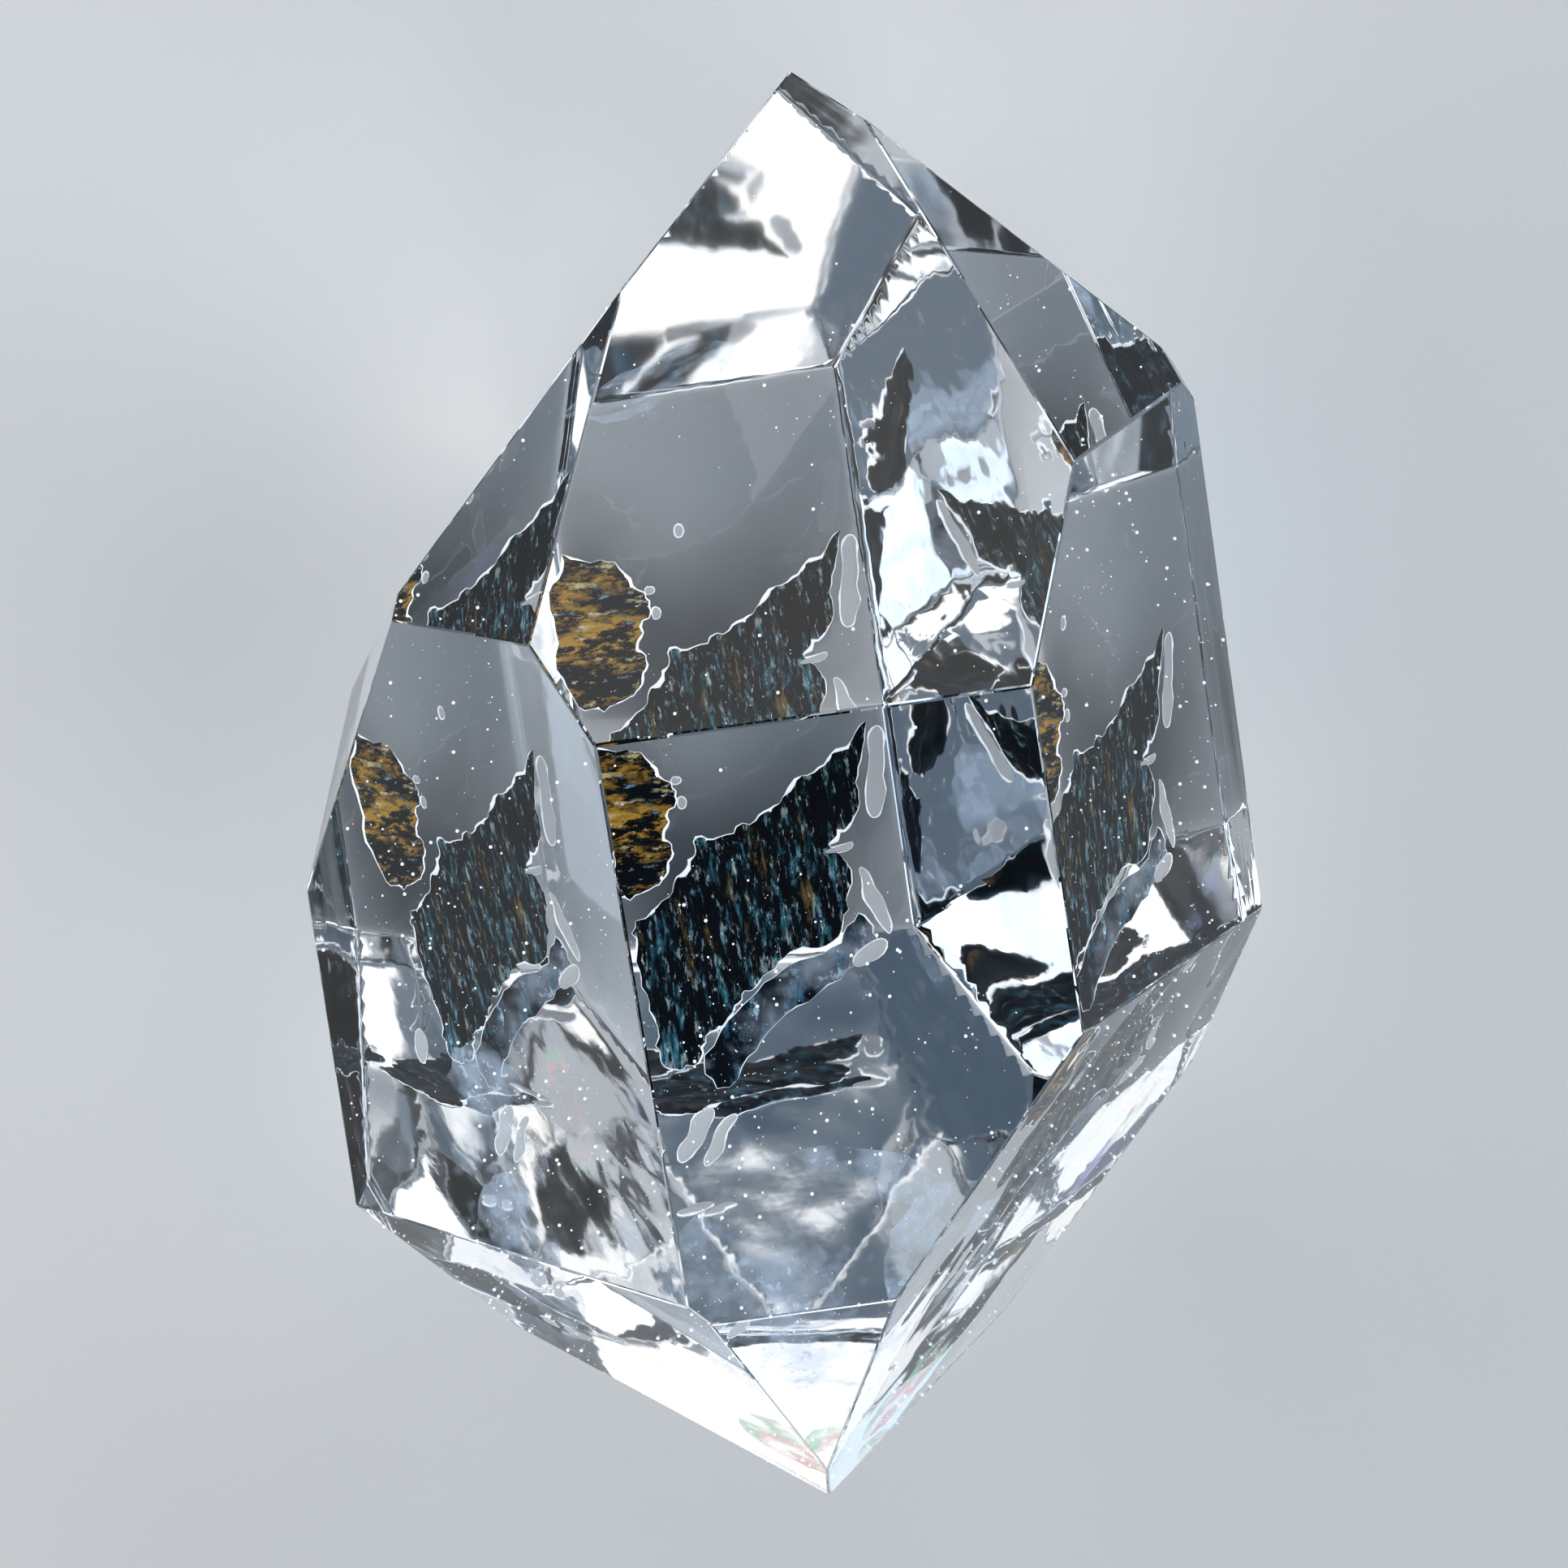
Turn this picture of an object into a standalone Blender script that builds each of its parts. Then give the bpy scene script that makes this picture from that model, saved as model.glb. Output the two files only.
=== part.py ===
"""Herkimer diamond: a clear, doubly terminated quartz crystal with a dark film sealed inside it.

The crystal lies on its back prism face. Its long axis runs along Y, with the taller
point at +Y, and the face that looks up is the front of the crystal. The clear solid is
parted in two along the film, which lies in a shallow pocket between the halves.
"""

import bpy
import bmesh
from math import cos, radians, sin
from mathutils import Matrix, Vector

MM = 0.001

# Crystal faces. Turn is the angle about the long axis, from straight up and towards +X.
# Rise is how far the face's normal leans to the +Y point. Reach is the distance from the
# crystal's centre to the face, in millimetres.
PRISM_FACES = {
    "front": (-1.5, -2.0, 6.60),
    "front_right": (58.0, 0.0, 6.70),
    "front_left": (-55.5, -2.5, 6.15),
    "back_right": (118.5, 0.5, 5.45),
    "back_left": (-121.5, 0.5, 6.45),
    "back": (180.0, 0.0, 7.90),
}
UPPER_POINT_FACES = {
    "front": (-1.5, 34.5, 7.30),
    "front_right": (58.0, 38.0, 8.95),
    "front_left": (-58.5, 38.0, 7.70),
    "back_right": (118.0, 40.0, 8.10),
    "back_left": (-113.0, 40.5, 6.20),
    "back": (180.5, 38.0, 7.80),
}
LOWER_POINT_FACES = {
    "front": (-1.5, -40.0, 9.05),
    "front_right": (57.0, -37.0, 6.95),
    "front_left": (-56.5, -39.5, 8.40),
    "back_right": (122.0, -43.0, 7.85),
    "back_left": (-119.5, -37.5, 8.90),
    "back": (186.0, -52.0, 7.30),
}
CORNER_FACES = {
    "left": (-95.0, 21.5, 6.70),
    "right": (90.0, 24.5, 8.65),
}
BLANK_SIZE = 40.0

# The film and what it needs round it, in millimetres. The film's plane passes this far below
# the crystal's centre and rises towards the lower point. The outlines lie in that plane.
FILM_DEPTH = 6.30
FILM_TILT = 16.0
FILM_THICKNESS = 0.20
FIT_GAP = 0.25
DARK_FILM_OUTLINE = [
    (1.55, 0.40), (1.20, 0.05), (0.60, -0.28), (0.00, -0.72), (-0.65, -1.05), (-1.15, -1.10),
    (-1.35, -1.30), (-1.50, -1.55), (-1.80, -1.90), (-2.38, -2.22), (-2.40, -3.20), (-2.32, -4.30),
    (-2.22, -4.60), (-1.85, -4.65), (-1.65, -4.38), (-1.05, -3.79), (-0.56, -3.39), (0.00, -3.10),
    (0.69, -2.93), (0.92, -2.50), (1.02, -1.96), (0.76, -1.45), (1.18, -1.05), (1.40, -0.20),
]
BROWN_FILM_OUTLINE = [
    (-2.70, 0.70), (-2.15, 0.50), (-1.80, 0.24), (-1.54, -0.12), (-1.52, -0.45), (-1.74, -0.90),
    (-1.74, -1.20), (-1.98, -1.62), (-2.40, -1.86), (-2.85, -1.75), (-3.05, -1.10), (-2.95, 0.20),
]
POCKET_OUTLINE = [
    (-3.00, 1.00), (-1.70, 0.60), (-0.20, 0.10), (1.30, 0.75), (1.85, 0.70), (1.70, -0.60),
    (1.40, -2.40), (1.05, -3.25), (-0.40, -3.65), (-1.40, -4.70), (-1.75, -4.88), (-2.40, -4.88),
    (-2.70, -4.00), (-3.20, -2.00), (-3.35, -0.60),
]

QUARTZ_COLOUR = (0.93, 0.95, 0.97, 1.0)
DARK_FILM_COLOUR = (0.015, 0.02, 0.03, 1.0)
BROWN_FILM_COLOUR = (0.12, 0.06, 0.02, 1.0)


def clear_scene():
    for old in list(bpy.data.objects):
        bpy.data.objects.remove(old, do_unlink=True)


def new_collection(name):
    collection = bpy.data.collections.new(name)
    bpy.context.scene.collection.children.link(collection)
    return collection


def principled(name, colour, roughness, transmission=0.0, ior=1.5):
    material = bpy.data.materials.new(name)
    material.use_nodes = True
    shader = material.node_tree.nodes["Principled BSDF"]
    shader.inputs["Base Color"].default_value = colour
    shader.inputs["Roughness"].default_value = roughness
    shader.inputs["Metallic"].default_value = 0.0
    shader.inputs["Transmission Weight"].default_value = transmission
    shader.inputs["IOR"].default_value = ior
    return material


def add_object(name, mesh, collection, material):
    obj = bpy.data.objects.new(name, mesh)
    mesh.materials.append(material)
    collection.objects.link(obj)
    return obj


def face_normal(turn, rise):
    """Outward normal of a crystal face: X across, Y along the crystal, Z up."""
    turn, rise = radians(turn), radians(rise)
    return Vector((cos(rise) * sin(turn), sin(rise), cos(rise) * cos(turn)))


def keep_below(bm, point, normal):
    """Cut a closed convex mesh with a plane and close the cut."""
    everything = bm.verts[:] + bm.edges[:] + bm.faces[:]
    cut = bmesh.ops.bisect_plane(
        bm, geom=everything, dist=1e-7, plane_co=point, plane_no=normal, clear_outer=True
    )
    rim = [part for part in cut["geom_cut"] if isinstance(part, bmesh.types.BMEdge)]
    if rim:
        bmesh.ops.contextual_create(bm, geom=rim)


def grow_crystal():
    """The whole crystal about its own centre, cut from a blank one face at a time."""
    bm = bmesh.new()
    bmesh.ops.create_cube(bm, size=BLANK_SIZE * MM)
    for form in (PRISM_FACES, UPPER_POINT_FACES, LOWER_POINT_FACES, CORNER_FACES):
        for turn, rise, reach in form.values():
            normal = face_normal(turn, rise)
            keep_below(bm, normal * reach * MM, normal)
    bmesh.ops.recalc_face_normals(bm, faces=bm.faces[:])
    return bm


def seat(bm):
    """Move the crystal so that its box stands on Z = 0, centred on the origin."""
    lows = [min(v.co[axis] for v in bm.verts) for axis in range(3)]
    highs = [max(v.co[axis] for v in bm.verts) for axis in range(3)]
    shift = Vector((-(lows[0] + highs[0]) / 2, -(lows[1] + highs[1]) / 2, -lows[2]))
    bmesh.ops.translate(bm, vec=shift, verts=bm.verts[:])
    return shift


def half_of(bm, name, film_plane, offset, side, collection, material):
    """The part of the crystal above (side 1) or below (side -1) a plane parallel to the film."""
    half = bm.copy()
    point = film_plane @ Vector((0, 0, side * offset))
    outward = film_plane.to_3x3() @ Vector((0, 0, -side))
    keep_below(half, point, outward)
    bmesh.ops.recalc_face_normals(half, faces=half.faces[:])
    mesh = bpy.data.meshes.new(name)
    half.to_mesh(mesh)
    half.free()
    return add_object(name, mesh, collection, material)


def flat_slab(name, outline, half_thickness, film_plane, collection, material):
    """A slab with the given outline in the film's plane, as a filled 2D curve made a mesh."""
    curve = bpy.data.curves.new(name, "CURVE")
    curve.dimensions = "2D"
    curve.fill_mode = "BOTH"
    curve.extrude = half_thickness
    spline = curve.splines.new("POLY")
    spline.points.add(len(outline) - 1)
    for point, (across, along) in zip(spline.points, outline):
        point.co = (across * MM, along * MM, 0, 1)
    spline.use_cyclic_u = True
    guide = bpy.data.objects.new(name + "_curve", curve)
    collection.objects.link(guide)
    evaluated = guide.evaluated_get(bpy.context.evaluated_depsgraph_get())
    mesh = bpy.data.meshes.new_from_object(evaluated)
    mesh.name = name
    bpy.data.objects.remove(guide, do_unlink=True)
    bm = bmesh.new()
    bm.from_mesh(mesh)
    bmesh.ops.remove_doubles(bm, verts=bm.verts[:], dist=1e-6)
    bmesh.ops.transform(bm, matrix=film_plane, verts=bm.verts[:])
    bmesh.ops.recalc_face_normals(bm, faces=bm.faces[:])
    bm.to_mesh(mesh)
    bm.free()
    mesh.materials.clear()
    return add_object(name, mesh, collection, material)


def hollow(half, cutter):
    boolean = half.modifiers.new("pocket", "BOOLEAN")
    boolean.operation = "DIFFERENCE"
    boolean.solver = "EXACT"
    boolean.object = cutter


def main():
    clear_scene()
    parts = new_collection("herkimer_diamond")
    cutters = new_collection("cutters")
    quartz = principled("clear_quartz", QUARTZ_COLOUR, 0.02, transmission=1.0, ior=1.544)
    dark = principled("carbon_film", DARK_FILM_COLOUR, 0.35)
    brown = principled("brown_film", BROWN_FILM_COLOUR, 0.4)

    crystal = grow_crystal()
    centre = seat(crystal)
    film_centre = centre - Vector((0, 0, FILM_DEPTH * MM))
    film_plane = Matrix.Translation(film_centre) @ Matrix.Rotation(-radians(FILM_TILT), 4, "X")
    half_gap = FIT_GAP * MM / 2
    half_film = FILM_THICKNESS * MM / 2
    half_pocket = half_film + FIT_GAP * MM

    upper = half_of(crystal, "quartz_upper", film_plane, half_gap, 1, parts, quartz)
    lower = half_of(crystal, "quartz_lower", film_plane, half_gap, -1, parts, quartz)
    crystal.free()

    pocket = flat_slab("pocket", POCKET_OUTLINE, half_pocket, film_plane, cutters, quartz)
    pocket.hide_render = True
    pocket.display_type = "WIRE"
    hollow(upper, pocket)
    hollow(lower, pocket)

    flat_slab("dark_film", DARK_FILM_OUTLINE, half_film, film_plane, parts, dark)
    flat_slab("brown_film", BROWN_FILM_OUTLINE, half_film, film_plane, parts, brown)


main()
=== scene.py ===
"""Herkimer diamond: the looks.

A clear, doubly terminated quartz crystal with a ragged dark film and a brown film sealed in it.
Lengths in the settings are in metres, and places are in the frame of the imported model: +Z up,
+Y along the crystal towards its taller point, the back prism face on Z = 0.
"""

import math
import random

import bmesh
import bpy
from bpy.props import FloatProperty, FloatVectorProperty, PointerProperty
from mathutils import Euler, Matrix, Vector, noise


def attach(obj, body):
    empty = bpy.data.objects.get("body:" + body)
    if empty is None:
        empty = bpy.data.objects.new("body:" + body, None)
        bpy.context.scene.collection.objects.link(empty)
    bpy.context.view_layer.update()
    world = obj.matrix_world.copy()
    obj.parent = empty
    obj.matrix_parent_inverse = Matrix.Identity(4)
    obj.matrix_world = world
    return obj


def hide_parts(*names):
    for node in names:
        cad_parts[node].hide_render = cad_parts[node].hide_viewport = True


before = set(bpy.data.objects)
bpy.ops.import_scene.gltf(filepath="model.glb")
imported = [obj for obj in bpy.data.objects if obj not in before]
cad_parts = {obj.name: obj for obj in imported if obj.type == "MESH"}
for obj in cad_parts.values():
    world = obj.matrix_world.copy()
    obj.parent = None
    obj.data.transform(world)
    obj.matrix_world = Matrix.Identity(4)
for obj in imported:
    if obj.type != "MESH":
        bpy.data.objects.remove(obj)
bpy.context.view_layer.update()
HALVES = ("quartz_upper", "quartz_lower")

bl_info = {
    "name": "Herkimer Diamond",
    "version": (1, 0, 0),
    "blender": (4, 5, 0),
    "location": "View3D > Sidebar > Herkimer",
    "description": "A clear quartz crystal with dark films sealed inside, on a plain pale floor",
    "category": "Object",
}

MM = 0.001
SEED = 7

# The block that the crystal is cut from, and the angle from which an edge is worn.
BLOCK_SIZE = 40 * MM
SHARP_EDGE = math.radians(8.0)

# The crystal's own centre, from which its faces and its films are measured.
CRYSTAL_CENTRE = Vector((0.25, -0.338, 7.90)) * MM

# The plane that the films lie in: how far below the centre, and how far it rises to the lower point.
FILM_DEPTH = 6.30 * MM
FILM_TILT = math.radians(16.0)

# Outlines in the film's plane, in millimetres: across the crystal, and along it.
DARK_FILM_OUTLINE = [
    (1.58, 0.44), (1.24, 0.05), (0.93, -0.09), (0.57, -0.30), (0.25, -0.49), (0.00, -0.72),
    (-0.32, -0.91), (-0.68, -1.06), (-1.13, -1.10), (-1.27, -1.04), (-1.32, -1.31), (-1.45, -1.51),
    (-1.75, -1.86), (-2.09, -2.12), (-2.38, -2.23), (-2.41, -2.61), (-2.41, -3.16), (-2.36, -3.68),
    (-2.34, -4.26), (-2.26, -4.60), (-2.03, -4.70), (-1.80, -4.66), (-1.65, -4.39), (-1.39, -4.13),
    (-1.05, -3.79), (-0.87, -3.58), (-0.56, -3.39), (-0.18, -3.14), (0.24, -3.05), (0.69, -2.93),
    (0.90, -2.52), (1.02, -1.96), (0.93, -1.72), (0.74, -1.45), (0.92, -1.25), (1.18, -1.05),
    (1.31, -0.65), (1.41, -0.16),
]
BROWN_FILM_OUTLINE = [
    (-2.72, 0.70), (-2.15, 0.52), (-1.82, 0.24), (-1.54, -0.11), (-1.50, -0.40), (-1.66, -0.72),
    (-1.78, -1.00), (-1.66, -1.24), (-1.78, -1.52), (-2.02, -1.72), (-2.42, -1.88), (-2.80, -1.75),
    (-3.06, -1.10), (-3.00, -0.30), (-2.94, 0.25),
]

# A dark band beside the dark film's lower edge: painted shade for the film's shadow and reflection
# there, under a faintly glowing haze.
SHADOW_BAND_OUTLINE = [
    (-1.62, -4.52), (-1.05, -3.92), (-0.55, -3.50), (0.05, -3.22), (0.72, -3.04), (1.05, -2.60),
    (1.22, -2.95), (1.25, -3.32), (0.62, -3.62), (-0.10, -3.95), (-0.72, -4.42), (-1.15, -4.95),
    (-1.50, -5.08),
]

# Sealed bubbles, in millimetres: across and along in the films' plane, length, width, turn in
# degrees, and how far above the plane.
BUBBLES = [
    (1.62, -0.42, 1.45, 0.30, 10, 0.0),
    (1.32, -2.45, 1.15, 0.24, -14, 0.0),
    (1.12, -3.28, 0.55, 0.30, 60, 0.0),
    (0.88, -1.52, 0.40, 0.12, 75, 0.0),
    (-1.98, -5.86, 1.00, 0.30, 36, 1.3),
    (-1.60, -6.02, 0.92, 0.20, 36, 1.3),
    (-1.47, -0.10, 0.13, 0.13, 0, 0.0),
    (-1.41, -0.45, 0.15, 0.13, 20, 0.0),
    (-0.88, 0.91, 0.16, 0.12, 30, 1.0),
    (-3.95, -4.60, 0.55, 0.30, 20, 2.2),
]
# Radius of a bubble's outline, a painted highlight, as a share of the films' rims, and half of a
# bubble's depth.
BUBBLE_HIGHLIGHT_RIM = 0.85
BUBBLE_HALF_DEPTH = 0.05 * MM
# Powers that turn a ball into a bubble with a blunt rim and flat sides.
BLUNT_RIM = -0.6
FLAT_SIDES = 0.45


class HerkimerCrystal(bpy.types.PropertyGroup):
    edge_wear: FloatProperty(
        name="Edge wear", description="Width of the worn edges", default=0.035 * MM, unit="LENGTH"
    )
    index: FloatProperty(name="Index", description="Index of refraction of quartz", default=1.544)
    colour: FloatVectorProperty(
        name="Colour", description="Body colour", subtype="COLOR", size=3, default=(0.86, 0.88, 0.90)
    )


class HerkimerFilms(bpy.types.PropertyGroup):
    thickness: FloatProperty(
        name="Thickness", description="Thickness of the films", default=0.05 * MM, unit="LENGTH"
    )
    raggedness: FloatProperty(
        name="Raggedness", description="How far the torn edges wander", default=0.09 * MM, unit="LENGTH"
    )
    relief: FloatProperty(
        name="Relief", description="Height of the waves in the films", default=0.05 * MM, unit="LENGTH"
    )
    # The rims' threads are a painted highlight, where the glassy torn edges catch the light.
    rim: FloatProperty(
        name="Rim", description="Radius of the bright threads on the torn edges", default=0.034 * MM,
        unit="LENGTH",
    )
    carbon: FloatVectorProperty(
        name="Carbon", description="Colour of the dark film", subtype="COLOR", size=3,
        default=(0.004, 0.006, 0.010),
    )
    amber: FloatVectorProperty(
        name="Amber", description="Colour of the orange flecks", subtype="COLOR", size=3,
        default=(0.78, 0.43, 0.07),
    )


class HerkimerStage(bpy.types.PropertyGroup):
    floor_colour: FloatVectorProperty(
        name="Floor", description="Colour of the floor", subtype="COLOR", size=3,
        default=(0.87, 0.86, 0.85),
    )
    frame_width: FloatProperty(
        name="Frame width", description="Width that the camera sees at the crystal",
        default=24.15 * MM, unit="LENGTH",
    )
    lens: FloatProperty(name="Lens", description="Focal length in millimetres", default=1000.0)


def deselect_everything():
    if bpy.context.object and bpy.context.object.mode != "OBJECT":
        bpy.ops.object.mode_set(mode="OBJECT")
    bpy.ops.object.select_all(action="DESELECT")


def activate(obj):
    deselect_everything()
    obj.select_set(True)
    bpy.context.view_layer.objects.active = obj


def apply_modifier(obj, kind, **settings):
    activate(obj)
    modifier = obj.modifiers.new(kind.title(), kind)
    for name, value in settings.items():
        setattr(modifier, name, value)
    bpy.ops.object.modifier_apply(modifier=modifier.name)


def join_all(base, others):
    deselect_everything()
    for obj in (*others, base):
        obj.select_set(True)
    bpy.context.view_layer.objects.active = base
    bpy.ops.object.join()


def film_plane():
    """Matrix from the films' plane to the frame of the model."""
    centre = CRYSTAL_CENTRE - Vector((0, 0, FILM_DEPTH))
    return Matrix.Translation(centre) @ Matrix.Rotation(-FILM_TILT, 4, "X")


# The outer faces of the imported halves: the smallest area of a true face, how far a corner may stand
# off its plane, and how close in angle two triangles of one face are, in radians.
TRUE_FACE_AREA = 1e-9
PLANE_SLACK = 2e-6
SAME_FACE_ANGLE = 0.01


def outer_planes():
    """(point, normal) of each crystal face: the faces that hold every corner on their inner side."""
    corners = []
    for name in HALVES:
        corners += [vertex.co.copy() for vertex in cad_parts[name].data.vertices]
    planes = []
    for name in HALVES:
        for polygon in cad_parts[name].data.polygons:
            normal, centre = polygon.normal.copy(), polygon.center.copy()
            reach = normal.dot(centre)
            if polygon.area < TRUE_FACE_AREA:
                continue
            if max(normal.dot(corner) for corner in corners) > reach + PLANE_SLACK:
                continue
            if all(normal.angle(other) > SAME_FACE_ANGLE for point, other in planes):
                planes.append((centre, normal))
    return planes


def new_material(name):
    """A new material, with its node tree and its shader."""
    material = bpy.data.materials.new(name)
    material.use_nodes = True
    return material, material.node_tree, material.node_tree.nodes["Principled BSDF"]


def add_node(tree, kind, **values):
    """A new node, with each value set on its property or else on its input socket."""
    node = tree.nodes.new(kind)
    for name, value in values.items():
        if hasattr(node, name):
            setattr(node, name, value)
        else:
            node.inputs[name].default_value = value
    return node


def quartz_material(name, settings, grain_scale, grain_height, frost=0.0, run=1.0, turn=0.0):
    """Clear quartz with a fine growth grain.

    The grain runs longer by the factor run along a line turned from +Y by turn, in degrees.
    """
    material, tree, shader = new_material(name)
    link = tree.links.new
    shader.inputs["Base Color"].default_value = (*settings.colour, 1.0)
    shader.inputs["Roughness"].default_value = frost
    shader.inputs["Transmission Weight"].default_value = 1.0
    shader.inputs["IOR"].default_value = settings.index
    place = add_node(tree, "ShaderNodeTexCoord")
    mapping = add_node(tree, "ShaderNodeMapping")
    mapping.vector_type = "TEXTURE"
    mapping.inputs["Rotation"].default_value = (0, 0, math.radians(turn))
    mapping.inputs["Scale"].default_value = (1.0, run, 1.0)
    grain = add_node(tree, "ShaderNodeTexNoise", Scale=grain_scale, Detail=1.0, Roughness=0.4)
    bump = add_node(tree, "ShaderNodeBump", Strength=1.0, Distance=grain_height)
    link(place.outputs["Object"], mapping.inputs["Vector"])
    link(mapping.outputs["Vector"], grain.inputs["Vector"])
    link(grain.outputs["Fac"], bump.inputs["Height"])
    link(bump.outputs["Normal"], shader.inputs["Normal"])
    return material


def speckle(tree, vector, scale, low, high, detail=5.0):
    """A mask of small specks from a fine noise: 0 where it is below low, 1 where it is above high."""
    grain = add_node(tree, "ShaderNodeTexNoise", Scale=scale, Detail=detail, Roughness=0.7)
    cut = add_node(tree, "ShaderNodeMapRange")
    cut.inputs["From Min"].default_value = low
    cut.inputs["From Max"].default_value = high
    tree.links.new(vector, grain.inputs["Vector"])
    tree.links.new(grain.outputs["Fac"], cut.inputs["Value"])
    return cut.outputs["Result"]


def blend_colour(tree, mask, below, above):
    """Mix a colour over a socket or a colour, by a mask socket."""
    mix = add_node(tree, "ShaderNodeMix", data_type="RGBA")
    tree.links.new(mask, mix.inputs[0])
    if isinstance(below, bpy.types.NodeSocket):
        tree.links.new(below, mix.inputs[6])
    else:
        mix.inputs[6].default_value = (*below, 1.0)
    mix.inputs[7].default_value = (*above, 1.0)
    return mix.outputs[2]


def film_material(name, ground, layers, stretch=(3.4, 0.8, 1.0)):
    """A dark film with fine streaks; where a layer is pale, its specks are painted glints. Each layer
    of specks is (colour, scale, low, high).
    """
    material, tree, shader = new_material(name)
    link = tree.links.new
    place = add_node(tree, "ShaderNodeTexCoord")
    mapping = add_node(tree, "ShaderNodeMapping")
    mapping.inputs["Scale"].default_value = stretch
    link(place.outputs["Object"], mapping.inputs["Vector"])
    colour = ground
    for speck, scale, low, high in layers:
        mask = speckle(tree, mapping.outputs["Vector"], scale, low, high)
        colour = blend_colour(tree, mask, colour, speck)
    link(colour, shader.inputs["Base Color"])
    shader.inputs["Roughness"].default_value = 0.4
    shader.inputs["Specular IOR Level"].default_value = 0.02
    return material


def white_glow_material(name, glow):
    """White matter that glows with a painted light: the films' rims, a painted highlight where glassy
    edges catch the light, and the dust grains, real dust whose sparkle is painted.
    """
    material, _, shader = new_material(name)
    shader.inputs["Base Color"].default_value = (0.93, 0.95, 0.98, 1.0)
    shader.inputs["Roughness"].default_value = 0.5
    shader.inputs["Emission Color"].default_value = (0.93, 0.96, 1.0, 1.0)
    shader.inputs["Emission Strength"].default_value = glow
    return material


def veil_glow_material(name, strength=0.6):
    """A faint bluish haze with bright grains, clear between them; haze and grains glow faintly, painted
    light for the light that the crack scatters.
    """
    material, tree, shader = new_material(name)
    link = tree.links.new
    place = add_node(tree, "ShaderNodeTexCoord")
    haze = speckle(tree, place.outputs["Object"], 700, 0.45, 0.85, detail=3.0)
    grains = speckle(tree, place.outputs["Object"], 6500, 0.60, 0.68, detail=1.0)
    both = add_node(tree, "ShaderNodeMath", operation="MULTIPLY_ADD")
    link(grains, both.inputs[0])
    link(haze, both.inputs[1])
    link(haze, both.inputs[2])
    faint = add_node(tree, "ShaderNodeMath", operation="MULTIPLY")
    link(both.outputs[0], faint.inputs[0])
    faint.inputs[1].default_value = strength
    link(faint.outputs[0], shader.inputs["Alpha"])
    shader.inputs["Base Color"].default_value = (0.72, 0.84, 1.0, 1.0)
    shader.inputs["Roughness"].default_value = 0.6
    shader.inputs["Specular IOR Level"].default_value = 0.0
    # The glow is painted light, for the light that the haze scatters.
    shader.inputs["Emission Color"].default_value = (0.75, 0.86, 1.0, 1.0)
    shader.inputs["Emission Strength"].default_value = 0.15
    return material


# The torn edges are broken up this many times, by no more than this share of each run.
TEAR_STEPS = 2
TEAR_SHARE = 0.22


def ragged_outline(outline, raggedness, seed):
    """The outline with its straight runs broken by small random wanders."""
    rng = random.Random(seed)
    points = [Vector((x * MM, y * MM, 0)) for x, y in outline]
    for step in range(TEAR_STEPS):
        finer = []
        for start, end in zip(points, points[1:] + points[:1]):
            along = end - start
            side = Vector((-along.y, along.x, 0)).normalized()
            tear = rng.uniform(-1, 1) * min(raggedness / 2 ** step, along.length * TEAR_SHARE)
            finer += [start, (start + end) / 2 + side * tear]
        points = finer
    return points


# Waves in the films: broad ones to the metre, and finer ones across and along.
BROAD_WAVES = 1400
FINE_WAVES = (9000, 1800)
FINE_WAVE_SHARE = 0.35
FILM_CUTS = 5
# A face of the film that looks down more than this has the underside's finish.
UNDERSIDE_SLOPE = -0.3


def film_sheet(name, outline, settings, seed, face, underside, rim, highlight_side):
    """A thin wavy sheet in the films' plane, from a ragged outline, with a painted highlight along its
    torn edge.
    """
    points = ragged_outline(outline, settings.raggedness, seed)
    deselect_everything()
    bpy.ops.mesh.primitive_circle_add(vertices=len(points), radius=MM, fill_type="NGON")
    sheet = bpy.context.object
    sheet.name = sheet.data.name = name
    for vertex, point in zip(sheet.data.vertices, points):
        vertex.co = point
    bpy.ops.object.mode_set(mode="EDIT")
    bpy.ops.mesh.select_all(action="SELECT")
    bpy.ops.mesh.quads_convert_to_tris(ngon_method="BEAUTY")
    bpy.ops.mesh.subdivide(number_cuts=FILM_CUTS)
    bpy.ops.mesh.beautify_fill()
    bpy.ops.object.mode_set(mode="OBJECT")
    for vertex in sheet.data.vertices:
        wave = noise.noise(vertex.co * BROAD_WAVES + Vector((0, 0, seed)))
        across, along = vertex.co.x * FINE_WAVES[0], vertex.co.y * FINE_WAVES[1]
        ripple = noise.noise(Vector((across, along, seed)))
        vertex.co.z = settings.relief * (wave + FINE_WAVE_SHARE * ripple)
    apply_modifier(sheet, "SOLIDIFY", thickness=settings.thickness, offset=0.0)
    for material in (face, underside):
        sheet.data.materials.append(material)
    for polygon in sheet.data.polygons:
        polygon.material_index = 1 if polygon.normal.z < UNDERSIDE_SLOPE else 0
    join_all(sheet, [highlight_thread(points, seed, settings.rim, rim, highlight_side)])
    return sheet


# A thread's radius changes from place to place, in patches this many to the metre.
THREAD_PATCHES = 3000
THREAD_SEED = 50


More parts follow.
